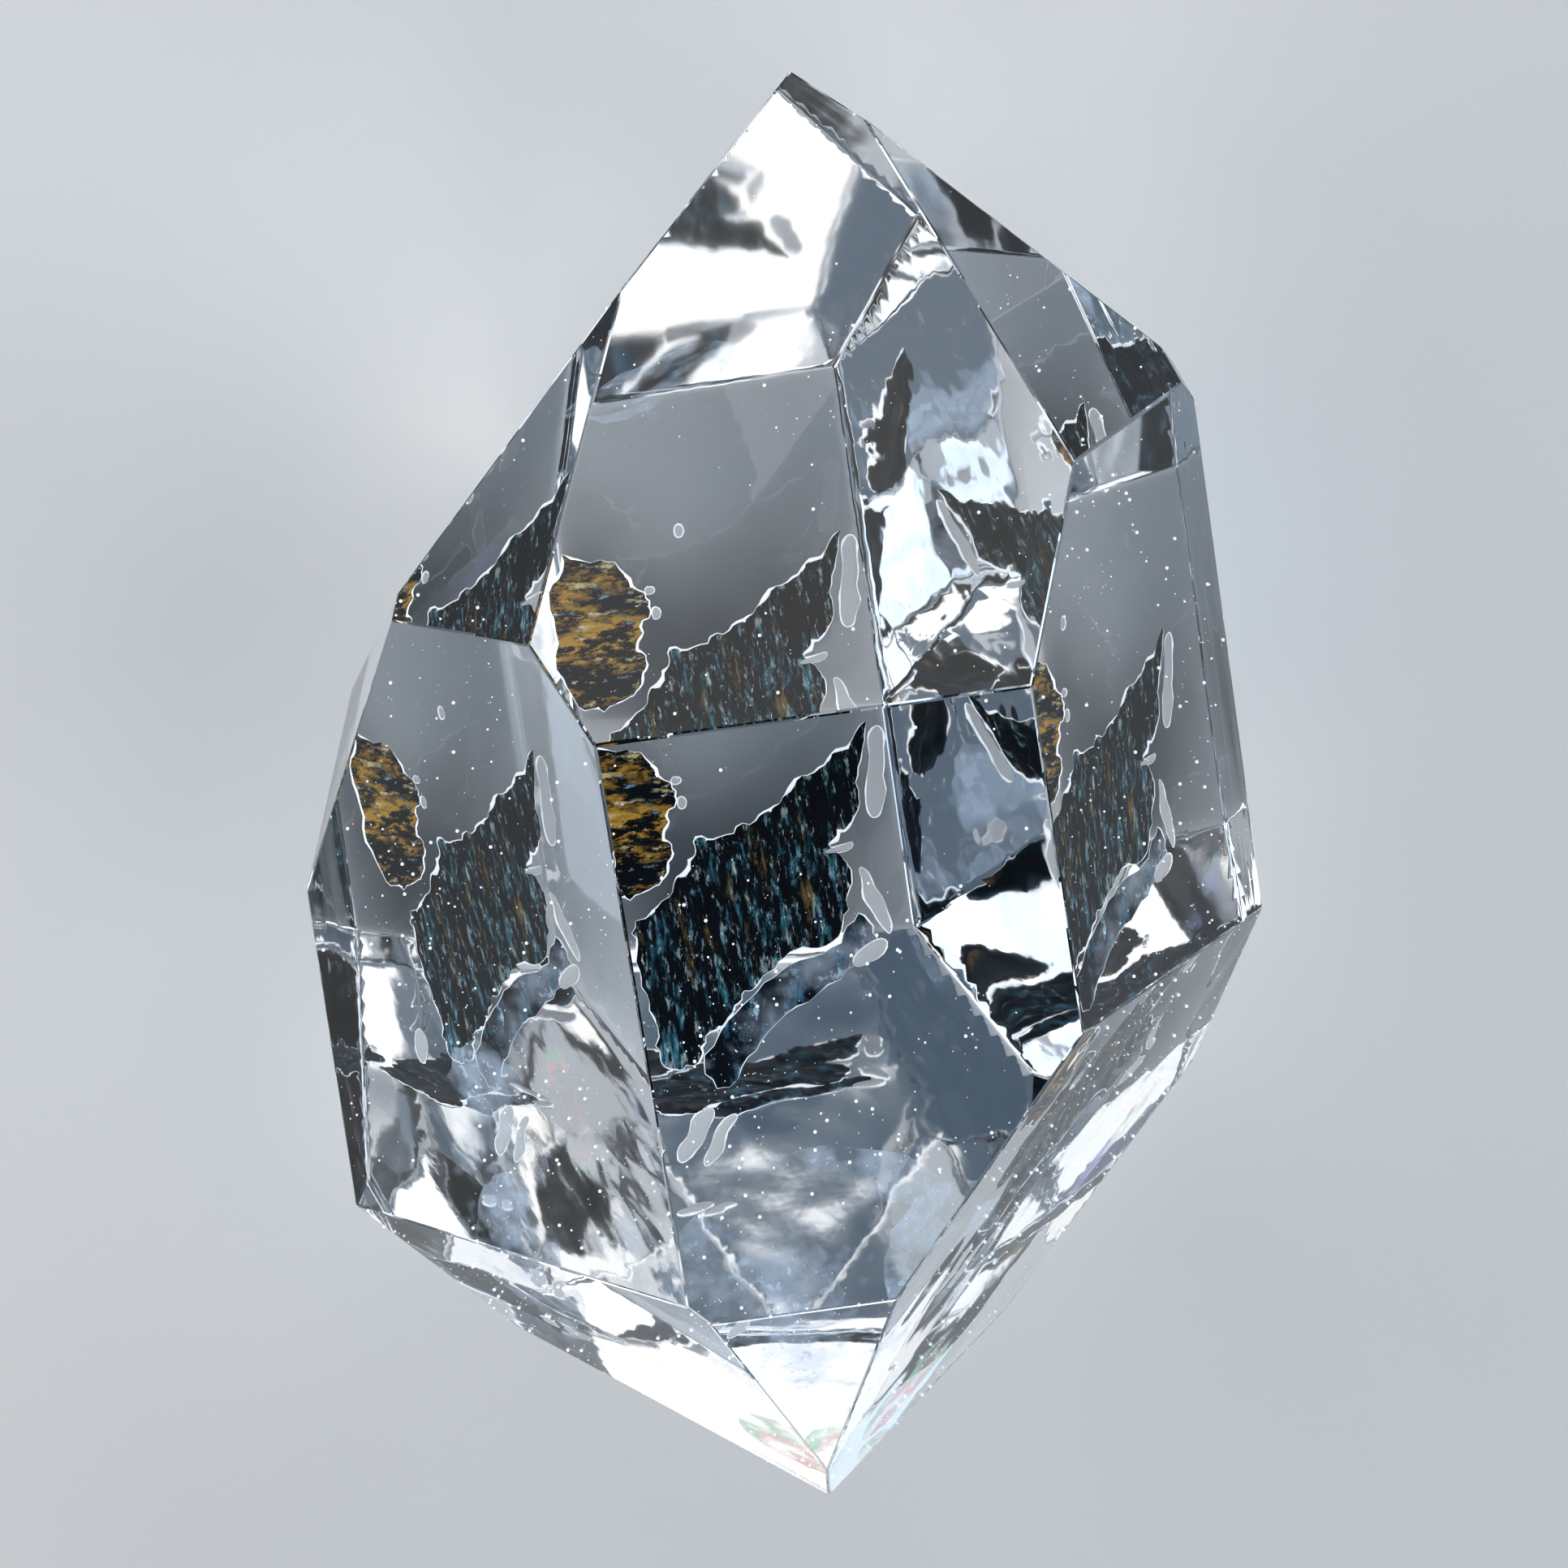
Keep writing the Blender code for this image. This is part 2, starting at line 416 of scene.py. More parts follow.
def highlight_thread(points, seed, radius, material, highlight_side=None):
    """A bright uneven thread along a closed outline: a painted highlight where a glassy edge catches
    the light.

    It is thinner where the edge faces away from the side that the highlight favours.
    """
    rng = random.Random(seed + THREAD_SEED)
    curve = bpy.data.curves.new("highlight_thread", "CURVE")
    curve.dimensions = "3D"
    curve.bevel_depth = radius
    curve.bevel_resolution = 1
    curve.materials.append(material)
    spline = curve.splines.new("POLY")
    spline.points.add(len(points) - 1)
    count = len(points)
    for i, place in enumerate(spline.points):
        place.co = (*points[i], 1.0)
        along = points[(i + 1) % count] - points[i - 1]
        outward = Vector((-along.y, along.x, 0)).normalized()
        patchy = 0.65 + 1.1 * noise.noise(points[i] * THREAD_PATCHES)
        width = max(0.2, patchy) * rng.uniform(0.6, 1.0)
        if highlight_side:
            width *= 0.3 + abs(outward.dot(Vector(highlight_side)))
        place.radius = width
    spline.use_cyclic_u = True
    rim = bpy.data.objects.new("highlight_thread", curve)
    bpy.context.scene.collection.objects.link(rim)
    activate(rim)
    bpy.ops.object.convert(target="MESH")
    return bpy.context.object


# How far a bubble's outline wanders, in waves this many to the metre, and the shift in the noise
# between the way across and the way along.
WANDER_REACH = 0.09 * MM
WANDER_WAVES = 2600
WANDER_SHIFT = Vector((9.2, 3.7, 5.1))


def wander(point):
    """A small smooth shift in the films' plane, which makes round outlines uneven."""
    spot = Vector((point.x, point.y, 0)) * WANDER_WAVES
    across, along = noise.noise(spot), noise.noise(spot + WANDER_SHIFT)
    return Vector((point.x + across * WANDER_REACH, point.y + along * WANDER_REACH, point.z))


def bubble_shape(across, along, length, width, turn, lift):
    """Matrix from a ball of radius 1 to a flat bubble along the films' plane."""
    sizes = Matrix.Diagonal((width * MM / 2, length * MM / 2, BUBBLE_HALF_DEPTH, 1.0))
    turned = Matrix.Rotation(math.radians(-turn), 4, "Z")
    return Matrix.Translation((across * MM, along * MM, lift * MM)) @ turned @ sizes


def bubble_outline(bubble):
    """The closed outline of a bubble in the films' plane."""
    steps = 36
    shape = bubble_shape(*bubble)
    angles = [2 * math.pi * step / steps for step in range(steps)]
    return [wander(shape @ Vector((math.cos(angle), math.sin(angle), 0))) for angle in angles]


# Finishes of the crystal's faces: the fine grain in the material, and its frost.
FINISHES = {
    "polished_quartz": dict(grain_scale=300, grain_height=0.002 * MM),
    "lined_quartz": dict(grain_scale=2600, grain_height=0.0016 * MM, run=18, turn=-48),
    "rippled_quartz": dict(grain_scale=1800, grain_height=0.004 * MM, frost=0.03),
    "striated_quartz": dict(grain_scale=2400, grain_height=0.0006 * MM, frost=0.06, run=1.6),
    "grown_quartz": dict(grain_scale=6500, grain_height=0.0003 * MM, frost=0.03, run=7),
    "stepped_quartz": dict(grain_scale=7500, grain_height=0.0004 * MM, run=14, turn=-36),
}
# Growth relief that stands in the mesh: waves to the metre, height, and the spacing of the mesh.
RELIEFS = {
    "rippled_quartz": dict(scale=360, height=0.036 * MM, step=0.28 * MM),
    "striated_quartz": dict(scale=480, height=0.0075 * MM, step=0.20 * MM, run=1.6),
    "grown_quartz": dict(scale=1300, height=0.0033 * MM, step=0.16 * MM, run=7),
    "stepped_quartz": dict(scale=1500, height=0.012 * MM, step=0.13 * MM, run=14, turn=-36),
}
# Faces over this area carry relief, and it fades out this close to their edges.
BROAD_FACE = 1e-6
RELIEF_MARGIN = 0.35 * MM


def finish_of(normal):
    """The finish of a face, from the way that it looks."""
    turn = math.degrees(math.atan2(normal.x, normal.z))
    rise = math.degrees(math.asin(max(-1.0, min(1.0, normal.y))))
    if 40 < turn < 75 and -50 < rise < -20:
        return "stepped_quartz"
    if abs(turn) < 20 and rise > 20:
        return "lined_quartz"
    if abs(turn) < 90 and abs(rise) < 60 or abs(rise) < 10 and abs(turn) > 175:
        return "polished_quartz"
    if abs(rise) < 10:
        return "rippled_quartz"
    if rise > 0:
        return "striated_quartz"
    return "grown_quartz"


def finish_faces(crystal, settings):
    """Give each face of the crystal its own finish."""
    names = list(FINISHES)
    for name, grain in FINISHES.items():
        crystal.data.materials.append(quartz_material(name, settings, **grain))
    for polygon in crystal.data.polygons:
        polygon.material_index = names.index(finish_of(polygon.normal))


def growth(spot, scale, run, turn):
    """Height of the growth relief at a spot, from about -1 to 1."""
    local = Matrix.Rotation(-math.radians(turn), 3, "Z") @ spot
    local = Vector((local.x, local.y / run, local.z)) * scale
    return noise.noise(local) + 0.4 * noise.noise(local * 2.0)


def cut_grid(bm, face, step):
    """Cut a flat face into a grid of small faces, and return them."""
    normal = face.normal.copy()
    along = (Vector((0, 1, 0)) - normal * normal.y).normalized()
    corners = [vert.co.copy() for vert in face.verts]
    parts = [face, *face.edges, *face.verts]
    for direction in (along, normal.cross(along)):
        reaches = [direction.dot(corner) for corner in corners]
        low, high = min(reaches), max(reaches)
        count = int((high - low) / step)
        for i in range(1, count + 1):
            point = direction * (low + i * (high - low) / (count + 1))
            cut = bmesh.ops.bisect_plane(bm, geom=parts, dist=1e-8, plane_co=point, plane_no=direction)
            parts = cut["geom"]
    return [part for part in parts if isinstance(part, bmesh.types.BMFace)]


def edge_distance(spot, border):
    """How far a spot is from the nearest of some edges, given as (start, end)."""
    return min((spot - start).cross((end - start).normalized()).length for start, end in border)


def put_in_order(bm):
    """Number the mesh by place, because it comes numbered in another way at each run."""
    slant = Vector((1.0, 1.7, 2.9))
    bm.verts.sort(key=lambda vert: vert.co.dot(slant))
    bm.faces.sort(key=lambda face: face.calc_center_median().dot(slant))


def raise_relief(crystal):
    """Give the broad faces their growth relief, which fades out towards the edges."""
    names = list(FINISHES)
    bm = bmesh.new()
    bm.from_mesh(crystal.data)
    broad = [face for face in bm.faces if face.calc_area() > BROAD_FACE]
    for face in broad:
        relief = RELIEFS.get(names[face.material_index])
        if not relief:
            continue
        normal = face.normal.copy()
        border = [(edge.verts[0].co.copy(), edge.verts[1].co.copy()) for edge in face.edges]
        small_faces = cut_grid(bm, face, relief["step"])
        for small in small_faces:
            small.smooth = True
        for vert in {vert for small in small_faces for vert in small.verts}:
            fade = min(1.0, edge_distance(vert.co, border) / RELIEF_MARGIN)
            fade = fade * fade * (3 - 2 * fade)
            rise = growth(vert.co, relief["scale"], relief.get("run", 1.0), relief.get("turn", 0.0))
            vert.co += normal * relief["height"] * fade * rise
    put_in_order(bm)
    bm.to_mesh(crystal.data)
    bm.free()


def seal_bubbles(crystal):
    """Leave the small flat bubbles beside the films as hollows in the crystal."""
    plane = film_plane()
    hollows = []
    for bubble in BUBBLES:
        shape = bubble_shape(*bubble)
        deselect_everything()
        bpy.ops.mesh.primitive_uv_sphere_add(segments=32, ring_count=20, radius=1.0)
        hollow = bpy.context.object
        for vertex in hollow.data.vertices:
            reach = math.hypot(vertex.co.x, vertex.co.y)
            if reach > 0:
                vertex.co.x *= reach ** BLUNT_RIM
                vertex.co.y *= reach ** BLUNT_RIM
            vertex.co.z = math.copysign(abs(vertex.co.z) ** FLAT_SIDES, vertex.co.z)
            vertex.co = plane @ wander(shape @ vertex.co)
        bpy.ops.object.mode_set(mode="EDIT")
        bpy.ops.mesh.select_all(action="SELECT")
        bpy.ops.mesh.flip_normals()
        bpy.ops.object.mode_set(mode="OBJECT")
        bpy.ops.object.shade_smooth()
        hollows.append(hollow)
    join_all(crystal, hollows)


class HERKIMER_OT_crystal(bpy.types.Operator):
    """Cut the clear crystal from a block along its natural faces"""

    bl_idname = "herkimer.crystal"
    bl_label = "Clear crystal"

    def execute(self, context):
        settings = context.scene.herkimer_crystal
        deselect_everything()
        bpy.ops.mesh.primitive_cube_add(size=BLOCK_SIZE, location=CRYSTAL_CENTRE)
        crystal = context.object
        crystal.name = crystal.data.name = "clear_crystal"
        bpy.ops.object.transform_apply(location=True, rotation=True, scale=True)
        bpy.ops.object.mode_set(mode="EDIT")
        for point, normal in outer_planes():
            bpy.ops.mesh.select_all(action="SELECT")
            bpy.ops.mesh.bisect(
                plane_co=point, plane_no=normal, use_fill=True, clear_outer=True, threshold=1e-7
            )
        bpy.ops.mesh.select_all(action="SELECT")
        bpy.ops.mesh.normals_make_consistent(inside=False)
        bpy.ops.object.mode_set(mode="OBJECT")
        apply_modifier(
            crystal, "BEVEL", width=settings.edge_wear, segments=2, limit_method="ANGLE",
            angle_limit=SHARP_EDGE, use_clamp_overlap=True,
        )
        finish_faces(crystal, settings)
        raise_relief(crystal)
        seal_bubbles(crystal)
        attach(crystal, "root")
        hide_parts(*HALVES)
        return {"FINISHED"}


class HERKIMER_OT_dark_film(bpy.types.Operator):
    """Make the ragged blue-black film that is sealed in the crystal, with painted glints, painted
    highlights on its edges and bubbles, and a dark band of painted shade beside it
    """

    bl_idname = "herkimer.dark_film"
    bl_label = "Dark film"

    def execute(self, context):
        settings = context.scene.herkimer_films
        face = film_material("carbon_streaks_and_glints", settings.carbon, (
            ((0.08, 0.26, 0.34), 1500, 0.50, 0.62),
            ((0.26, 0.17, 0.05), 900, 0.56, 0.66),
            ((0.002, 0.002, 0.003), 2500, 0.49, 0.55),
            # The pale blue and gold specks are the film's own flecks, brightened with painted glints;
            # the near-white specks are painted glints.
            ((0.42, 0.70, 0.80), 3000, 0.57, 0.66),
            ((0.60, 0.40, 0.16), 3000, 0.61, 0.68),
            ((1.0, 0.98, 0.92), 4300, 0.62, 0.68),
        ))
        underside = film_material("carbon_underside_and_glints", (0.003, 0.008, 0.016), (
            ((0.07, 0.22, 0.32), 1300, 0.50, 0.62),
            ((0.003, 0.006, 0.012), 1900, 0.50, 0.56),
            # The pale blue specks are the film's blue flecks, brightened with painted glints.
            ((0.60, 0.78, 0.88), 2600, 0.60, 0.68),
        ), stretch=(1.8, 1.0, 1.0))
        # The rims glow: a painted highlight where the glassy edges catch the light.
        rim = white_glow_material("painted_highlight_rim", 0.45)
        sheet = film_sheet(
            "ragged_dark_film", DARK_FILM_OUTLINE, settings, SEED, face, underside, rim,
            (-0.5, 0.86, 0),
        )
        # Each bubble gets a thread of painted highlight round its outline.
        outlines = [
            highlight_thread(bubble_outline(bubble), i, BUBBLE_HIGHLIGHT_RIM * settings.rim, rim)
            for i, bubble in enumerate(BUBBLES)
        ]
        # The dark band is painted shade for the film's shadow and reflection: its dark underside shows
        # through a faintly glowing haze, and a painted highlight runs along its edge.
        painted_shadow_band = film_sheet(
            "painted_shadow_band", SHADOW_BAND_OUTLINE, settings, SEED + 3, veil_glow_material("shadow_band_haze_glow", 0.8),
            underside, rim, (0.12, 0.05, 0)
        )
        join_all(sheet, [*outlines, painted_shadow_band])
        sheet.data.transform(film_plane())
        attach(sheet, "root")
        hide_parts("dark_film")
        return {"FINISHED"}


class HERKIMER_OT_brown_film(bpy.types.Operator):
    """Make the smaller brown film with its orange flecks, painted glints and a painted highlight on its
    edge
    """

    bl_idname = "herkimer.brown_film"
    bl_label = "Brown film"

    def execute(self, context):
        settings = context.scene.herkimer_films
        face = film_material("amber_flecks_and_glints", settings.carbon, (
            (settings.amber, 700, 0.47, 0.58),
            ((0.004, 0.004, 0.006), 1300, 0.49, 0.55),
            # The pale gold specks are the film's own flecks, brightened with painted glints; the
            # near-white specks are painted glints.
            ((0.95, 0.80, 0.42), 2000, 0.58, 0.67),
            ((0.30, 0.46, 0.55), 2600, 0.61, 0.68),
            ((1.0, 0.97, 0.9), 3000, 0.62, 0.68),
        ), stretch=(1.0, 2.6, 1.0))
        underside = film_material("brown_underside", (0.004, 0.008, 0.014), (
            ((0.05, 0.12, 0.18), 1500, 0.50, 0.66),
            ((0.45, 0.22, 0.06), 1300, 0.60, 0.66),
        ))
        # The rim glows: a painted highlight where the glassy edge catches the light.
        rim = white_glow_material("painted_highlight_thread", 0.6)
        sheet = film_sheet(
            "ragged_brown_film", BROWN_FILM_OUTLINE, settings, SEED + 1, face, underside, rim,
            (1.2, 0.3, 0),
        )
        sheet.data.transform(film_plane())
        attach(sheet, "root")
        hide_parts("brown_film")
        return {"FINISHED"}


# Softboxes round the crystal, each 0.25 m away: turn from +Y towards +X and rise in degrees,
# width and height in metres, brightness, colour.
BLUISH, NEUTRAL, WARM = (0.78, 0.89, 1.0), (1.0, 0.98, 0.95), (1.0, 0.94, 0.86)
SOFTBOXES = {
    "far": (0, 23, 0.22, 0.25, 1.0, NEUTRAL),
    "far_right": (50, 24, 0.19, 0.25, 1.0, BLUISH),
    "right": (113, 4, 0.03, 0.05, 0.95, NEUTRAL),
    "near_right": (145, 22, 0.14, 0.19, 0.80, NEUTRAL),
    "near": (180, 7, 0.24, 0.055, 0.95, WARM),
    "near_left": (222, 22, 0.16, 0.20, 0.85, NEUTRAL),
    "left": (262, 22, 0.17, 0.20, 0.85, BLUISH),
    "far_left": (310, 24, 0.22, 0.22, 1.0, WARM),
    "top_right": (64, 72, 0.07, 0.06, 0.95, NEUTRAL),
    "top_middle": (106, 61, 0.10, 0.04, 0.95, NEUTRAL),
    "top_near": (158, 56, 0.08, 0.05, 0.95, NEUTRAL),
    "top_left": (289, 58, 0.09, 0.06, 0.85, NEUTRAL),
}
SOFTBOX_DISTANCE = 0.25
# All softboxes are brightened by this factor.
LIGHT_LEVEL = 1.16


def softbox(name, turn, rise, width, height, brightness, colour):
    """A soft light that looks at the crystal. Turn is from +Y towards +X."""
    turn, rise = math.radians(turn), math.radians(rise)
    away = Vector((math.sin(turn) * math.cos(rise), math.cos(turn) * math.cos(rise), math.sin(rise)))
    light = bpy.data.lights.new(name, "AREA")
    light.shape = "RECTANGLE"
    light.size, light.size_y = width, height
    light.energy = LIGHT_LEVEL * brightness * math.pi * width * height
    light.color = colour
    lamp = bpy.data.objects.new(name, light)
    bpy.context.scene.collection.objects.link(lamp)
    lamp.location = CRYSTAL_CENTRE + away * SOFTBOX_DISTANCE
    lamp.rotation_euler = (-away).to_track_quat("-Z", "Y").to_euler()
    lamp.visible_camera = False


# Dust grains: how many places are tried, the radii in millimetres, how much a face has to look up,
# the smallest triangle and face that carry dust, the clumps to the metre, and the share that stays.
DUST_TRIES = 6800
DUST_RADII = (0.006, 0.008, 0.008, 0.010, 0.010, 0.014, 0.020, 0.030)
DUST_SLOPE = 0.15
DUST_TRIANGLE, DUST_FACE = 1e-9, 5e-9
DUST_CLUMPS = 420
DUST_SHARE, DUST_CONTRAST = 0.30, 0.6


def dusty(triangle, polygons):
    """Whether a triangle of the crystal looks up and is big enough to carry dust."""
    if triangle.normal.z <= DUST_SLOPE or triangle.area <= DUST_TRIANGLE:
        return False
    return polygons[triangle.polygon_index].area > DUST_FACE


def scatter_dust(name, seed):
    """Tiny white grains on the upward faces of the crystal, as one mesh; they glow faintly, a painted
    light for their sparkle.

    They lie thicker towards the lower point.
    """
    rng = random.Random(seed)
    shape = bpy.data.objects["clear_crystal"].data
    shape.calc_loop_triangles()
    corners = [vertex.co for vertex in shape.vertices]
    triangles = [triangle for triangle in shape.loop_triangles if dusty(triangle, shape.polygons)]
    areas = [triangle.area for triangle in triangles]
    mesh = bpy.data.meshes.new(name)
    bm = bmesh.new()
    for triangle in rng.choices(triangles, areas, k=DUST_TRIES):
        a, b, c = (corners[i] for i in triangle.vertices)
        u, v = rng.random(), rng.random()
        if u + v > 1:
            u, v = 1 - u, 1 - v
        spot = a + (b - a) * u + (c - a) * v
        crowd = noise.noise(spot * DUST_CLUMPS) - 0.35 * spot.y / (11 * MM)
        radius = rng.choice(DUST_RADII) * MM
        if rng.random() > DUST_SHARE + DUST_CONTRAST * crowd:
            continue
        place = Matrix.Translation(spot + triangle.normal * radius * 0.5)
        bmesh.ops.create_icosphere(bm, subdivisions=1, radius=radius, matrix=place)
    bm.to_mesh(mesh)
    bm.free()
    dust = bpy.data.objects.new(name, mesh)
    bpy.context.scene.collection.objects.link(dust)
    return dust


# Healed cracks, and cracks in painted rainbow colours, in the crystal: centre in millimetres from the
# crystal's own centre, length and width in millimetres, and turns about X, Y and Z in degrees.
VEILS = [
    ((-0.4, -6.4, 3.2), 4.2, 5.2, (-28, 6, 0)),
    ((1.6, -6.9, 2.0), 3.0, 2.6, (-36, -20, 14)),
    ((-4.2, -5.4, 0.6), 5.0, 2.6, (-14, -48, 6)),
    ((-4.6, -6.4, 1.6), 3.0, 1.8, (-24, -50, 10)),
    ((-1.2, 7.2, 2.4), 2.2, 2.6, (38, 0, 18)),
]
RAINBOWS = [
    ((0.0, -9.0, 0.8), 2.2, 2.4, (-42, 4, 30)),
    ((-3.3, 6.0, 1.0), 1.8, 0.5, (30, -40, -20)),
    ((4.4, -6.6, 0.4), 3.6, 0.6, (-30, 38, -36)),
    ((-3.0, -3.6, 2.2), 2.8, 0.5, (-6, -40, 16)),
]
# How thick the sheets are, and how high and how many to the metre their waves are.
VEIL_THICKNESS = 0.01 * MM
VEIL_WAVE = 0.25 * MM
VEIL_WAVES = 500
# How deep inside the crystal a crack stays.
VEIL_MARGIN = 0.25 * MM


def rainbow_glow_material(name):
    """Rainbow colours of a very thin crack, in bands across it, painted as a glowing reflection."""
    material, tree, shader = new_material(name)
    link = tree.links.new
    place = add_node(tree, "ShaderNodeTexCoord")
    bands = add_node(tree, "ShaderNodeTexNoise", Scale=520.0, Detail=1.0, Roughness=0.4)
    nanometres = add_node(tree, "ShaderNodeMapRange")
    nanometres.inputs["From Min"].default_value = 0.35
    nanometres.inputs["From Max"].default_value = 0.65
    nanometres.inputs["To Min"].default_value = 430
    nanometres.inputs["To Max"].default_value = 660
    hue = add_node(tree, "ShaderNodeWavelength")
    link(place.outputs["Object"], bands.inputs["Vector"])
    link(bands.outputs["Fac"], nanometres.inputs["Value"])
    link(nanometres.outputs["Result"], hue.inputs["Wavelength"])
    pale = add_node(tree, "ShaderNodeMix", data_type="RGBA")
    pale.inputs[0].default_value = 0.55
    link(hue.outputs["Color"], pale.inputs[6])
    pale.inputs[7].default_value = (0.9, 0.95, 1.0, 1.0)
    link(pale.outputs[2], shader.inputs["Base Color"])
    # The colours glow: a painted reflection of light on the thin crack.
    link(pale.outputs[2], shader.inputs["Emission Color"])
    shader.inputs["Emission Strength"].default_value = 0.25
    shader.inputs["Roughness"].default_value = 0.5
    shader.inputs["Specular IOR Level"].default_value = 0.0
    patches = speckle(tree, place.outputs["Object"], 900, 0.46, 0.80, detail=3.0)
    link(patches, shader.inputs["Alpha"])
    return material


def pull_inside(spot, planes):
    """A place close to spot that is deep enough inside the crystal."""
    for point, normal in planes * 2:
        excess = normal.dot(spot - point) + VEIL_MARGIN
        if excess > 0:
            spot = spot - normal * excess
    return spot


def veil_sheet(centre, length, width, turns, seed, planes):
    """A thin curved sheet with a ragged edge inside the crystal."""
    rng = random.Random(seed)
    deselect_everything()
    bpy.ops.mesh.primitive_circle_add(vertices=40, radius=1.0, fill_type="NGON")
    sheet = bpy.context.object
    for vertex in sheet.data.vertices:
        reach = rng.uniform(0.92, 1.0)
        vertex.co = Vector((vertex.co.x * width / 2, vertex.co.y * length / 2, 0)) * reach * MM
    bpy.ops.object.mode_set(mode="EDIT")
    bpy.ops.mesh.select_all(action="SELECT")
    bpy.ops.mesh.quads_convert_to_tris(ngon_method="BEAUTY")
    bpy.ops.mesh.subdivide(number_cuts=4)
    bpy.ops.object.mode_set(mode="OBJECT")
    tilt = Euler([math.radians(turn) for turn in turns]).to_matrix().to_4x4()
    place = Matrix.Translation(CRYSTAL_CENTRE + Vector(centre) * MM) @ tilt
    for vertex in sheet.data.vertices:
        vertex.co.z = VEIL_WAVE * noise.noise(vertex.co * VEIL_WAVES + Vector((0, 0, seed)))
        vertex.co = pull_inside(place @ vertex.co, planes)
    apply_modifier(sheet, "SOLIDIFY", thickness=VEIL_THICKNESS, offset=0.0)
    return sheet


class HERKIMER_OT_veils(bpy.types.Operator):
    """Make the faint healed cracks inside the crystal, which glow faintly with painted light"""

    bl_idname = "herkimer.veils"
    bl_label = "Veils"

    def execute(self, context):
        haze, painted_rainbow = veil_glow_material("veil"), rainbow_glow_material("painted_rainbow")
        planes = outer_planes()
        sheets = []
        for seed, veil in enumerate(VEILS + RAINBOWS, SEED):
            sheet = veil_sheet(*veil, seed, planes)
            sheet.data.materials.append(haze if veil in VEILS else painted_rainbow)
            sheets.append(sheet)
        veils = sheets[0]
        join_all(veils, sheets[1:])
        veils.name = veils.data.name = "glowing_healed_veils"
        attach(veils, "root")
        return {"FINISHED"}


class HERKIMER_OT_dust(bpy.types.Operator):
    """Scatter fine white dust on the crystal's upward faces; the grains glow faintly, a painted light
    for their sparkle
    """

    bl_idname = "herkimer.dust"
    bl_label = "Dust"

    def execute(self, context):
        dust = scatter_dust("glowing_fine_dust", SEED + 2)
        # Real dust, but it glows: its sparkle is painted light.
        dust.data.materials.append(white_glow_material("white_dust_glow", 0.35))
        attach(dust, "root")
        return {"FINISHED"}


FLOOR_SIZE = 1.2
# The floor is this far under the crystal, so that it doesn't share a plane with the resting face.
FLOOR_DROP = 0.03 * MM
SKY_COLOUR, SKY_STRENGTH = (0.55, 0.76, 1.0), 0.17
SENSOR_WIDTH = 36.0
# The camera's turns about Y, then X, then Z, in degrees, the width of the picture that it matches,
# and where its middle is from the crystal's centre, in pixels of that picture.
CAMERA_TURNS = ((-2.5, "Y"), (-18.0, "X"), (-7.5, "Z"))
PICTURE_WIDTH = 1932
PICTURE_MIDDLE = (1, -6)


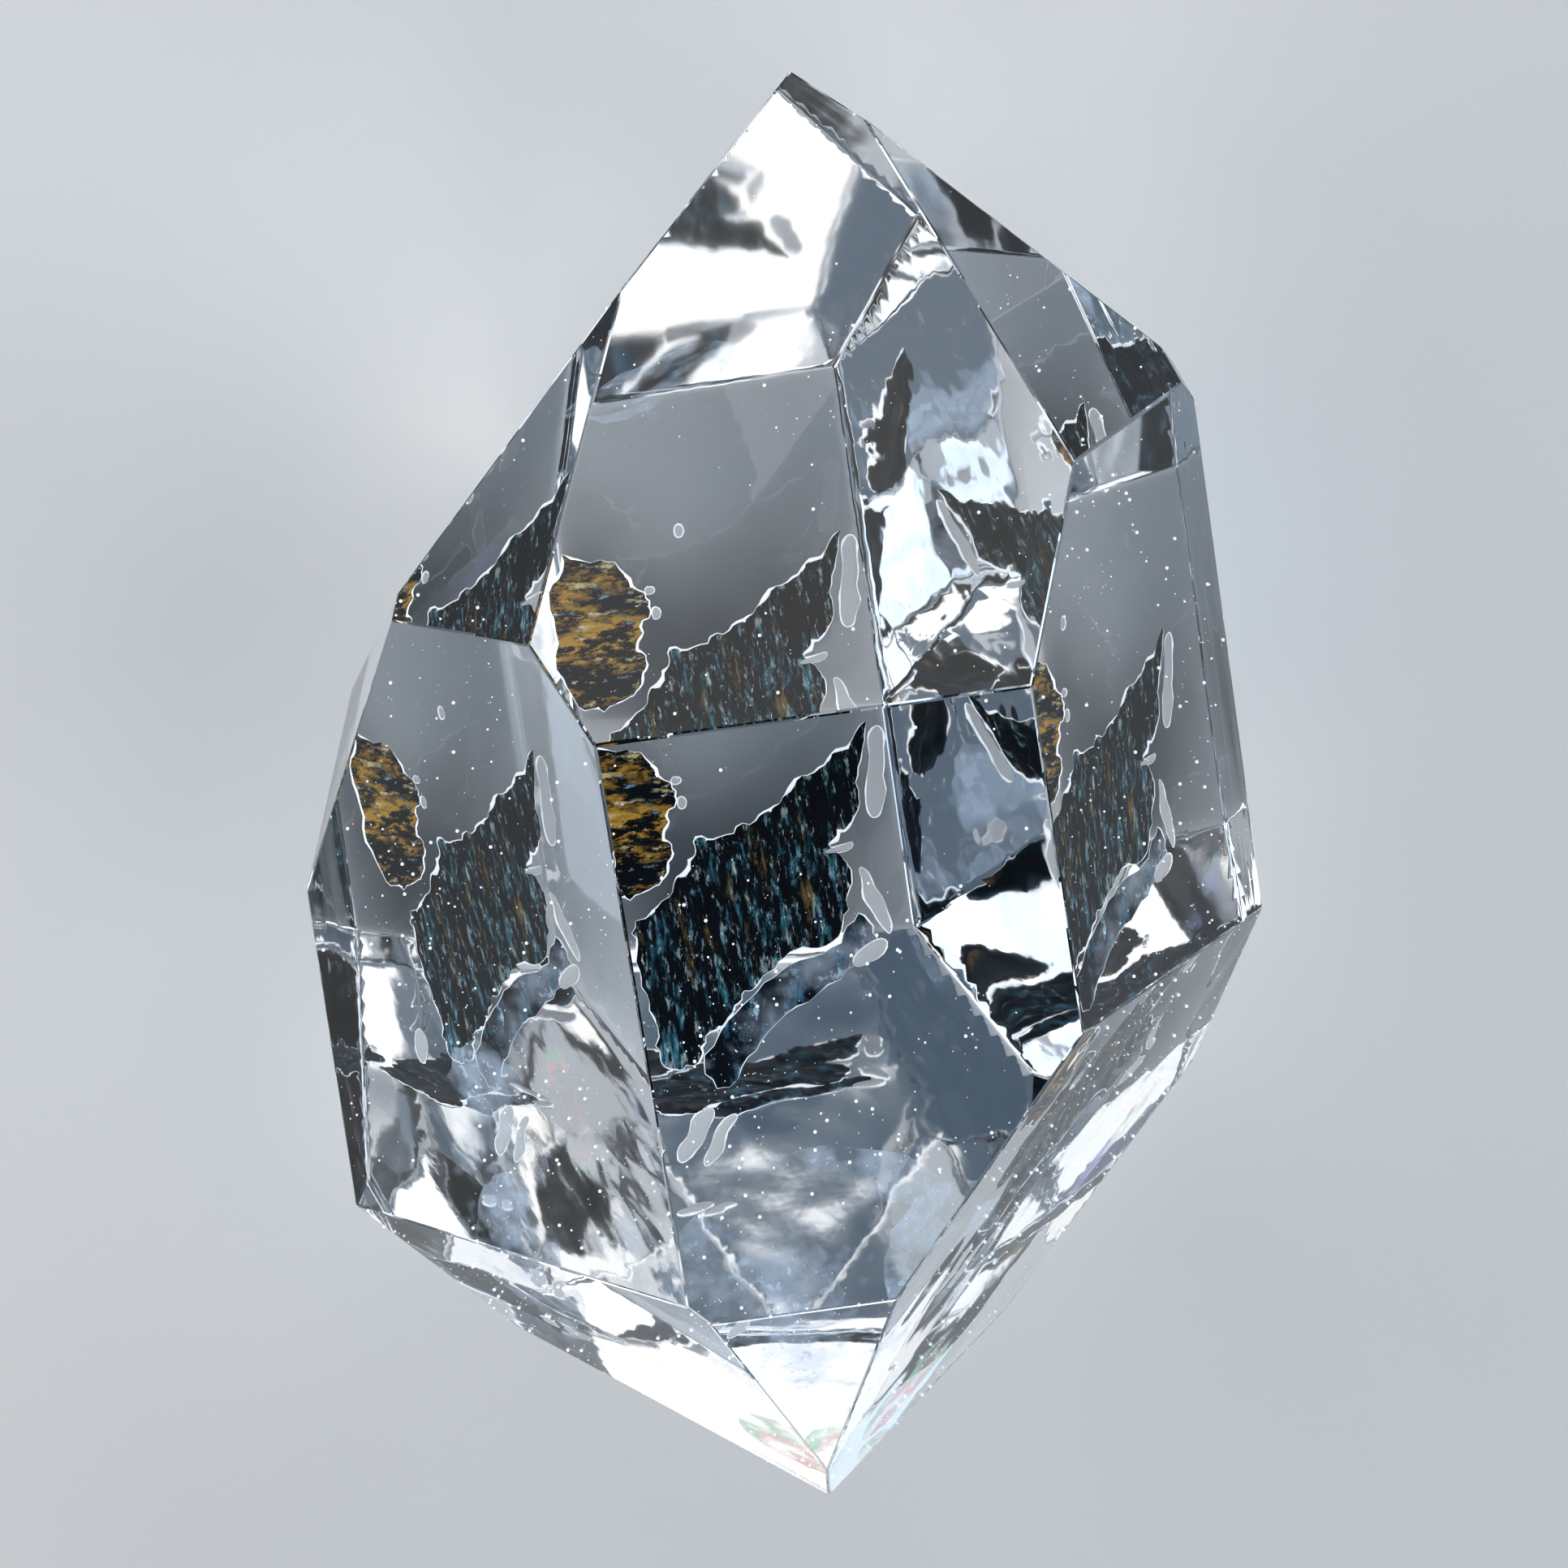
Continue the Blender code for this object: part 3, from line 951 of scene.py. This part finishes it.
class HERKIMER_OT_stage(bpy.types.Operator):
    """Set the floor, the soft lights and the camera"""

    bl_idname = "herkimer.stage"
    bl_label = "Stage"

    def execute(self, context):
        settings = context.scene.herkimer_stage
        scene = context.scene
        deselect_everything()
        bpy.ops.mesh.primitive_plane_add(size=FLOOR_SIZE, location=(0, 0, -FLOOR_DROP))
        floor = context.object
        floor.name = floor.data.name = "pale_floor"
        bpy.ops.object.transform_apply(location=True, rotation=True, scale=True)
        material, _, shader = new_material("pale_floor")
        shader.inputs["Base Color"].default_value = (*settings.floor_colour, 1.0)
        shader.inputs["Roughness"].default_value = 0.9
        shader.inputs["Specular IOR Level"].default_value = 0.1
        floor.data.materials.append(material)

        world = bpy.data.worlds.new("studio")
        world.use_nodes = True
        sky = world.node_tree.nodes["Background"]
        sky.inputs["Color"].default_value = (*SKY_COLOUR, 1.0)
        sky.inputs["Strength"].default_value = SKY_STRENGTH
        scene.world = world
        for name, box in SOFTBOXES.items():
            softbox(f"{name}_softbox", *box)

        lens = bpy.data.cameras.new("camera")
        lens.lens = settings.lens
        lens.sensor_width = SENSOR_WIDTH
        lens.clip_start, lens.clip_end = 0.05, 5.0
        camera = bpy.data.objects.new("camera", lens)
        scene.collection.objects.link(camera)
        turned = Matrix.Identity(3)
        for turn, axis in CAMERA_TURNS:
            turned = turned @ Matrix.Rotation(math.radians(turn), 3, axis)
        pixel = settings.frame_width / PICTURE_WIDTH
        across, along = PICTURE_MIDDLE
        distance = settings.frame_width * settings.lens / SENSOR_WIDTH
        spot = CRYSTAL_CENTRE + turned @ Vector((across * pixel, along * pixel, distance))
        camera.matrix_world = Matrix.Translation(spot) @ turned.to_4x4()
        scene.camera = camera

        scene.view_settings.view_transform = "Standard"
        scene.view_settings.look = "Medium High Contrast"
        scene.view_settings.exposure = 0.0
        scene.cycles.max_bounces = 14
        scene.cycles.transmission_bounces = 14
        scene.cycles.glossy_bounces = 6
        scene.cycles.diffuse_bounces = 2
        scene.cycles.caustics_refractive = True
        scene.cycles.caustics_reflective = True
        scene.cycles.blur_glossy = 0.0
        scene.cycles.sample_clamp_indirect = 6.0
        scene.cycles.use_denoising = True
        return {"FINISHED"}


class HERKIMER_PT_panel(bpy.types.Panel):
    bl_label = "Herkimer Diamond"
    bl_idname = "HERKIMER_PT_panel"
    bl_space_type = "VIEW_3D"
    bl_region_type = "UI"
    bl_category = "Herkimer"

    def draw(self, context):
        for operator in OPERATORS:
            self.layout.operator(operator.bl_idname)


SETTINGS = {
    "herkimer_crystal": HerkimerCrystal,
    "herkimer_films": HerkimerFilms,
    "herkimer_stage": HerkimerStage,
}
OPERATORS = (
    HERKIMER_OT_crystal,
    HERKIMER_OT_dark_film,
    HERKIMER_OT_brown_film,
    HERKIMER_OT_veils,
    HERKIMER_OT_dust,
    HERKIMER_OT_stage,
)
CLASSES = (*SETTINGS.values(), *OPERATORS, HERKIMER_PT_panel)


def register():
    for kind in CLASSES:
        bpy.utils.register_class(kind)
    for name, kind in SETTINGS.items():
        setattr(bpy.types.Scene, name, PointerProperty(type=kind))


def unregister():
    for name in SETTINGS:
        delattr(bpy.types.Scene, name)
    for kind in reversed(CLASSES):
        bpy.utils.unregister_class(kind)


def main():
    register()
    bpy.ops.herkimer.crystal()
    bpy.ops.herkimer.dark_film()
    bpy.ops.herkimer.brown_film()
    bpy.ops.herkimer.veils()
    bpy.ops.herkimer.dust()
    bpy.ops.herkimer.stage()


if __name__ == "__main__":
    main()
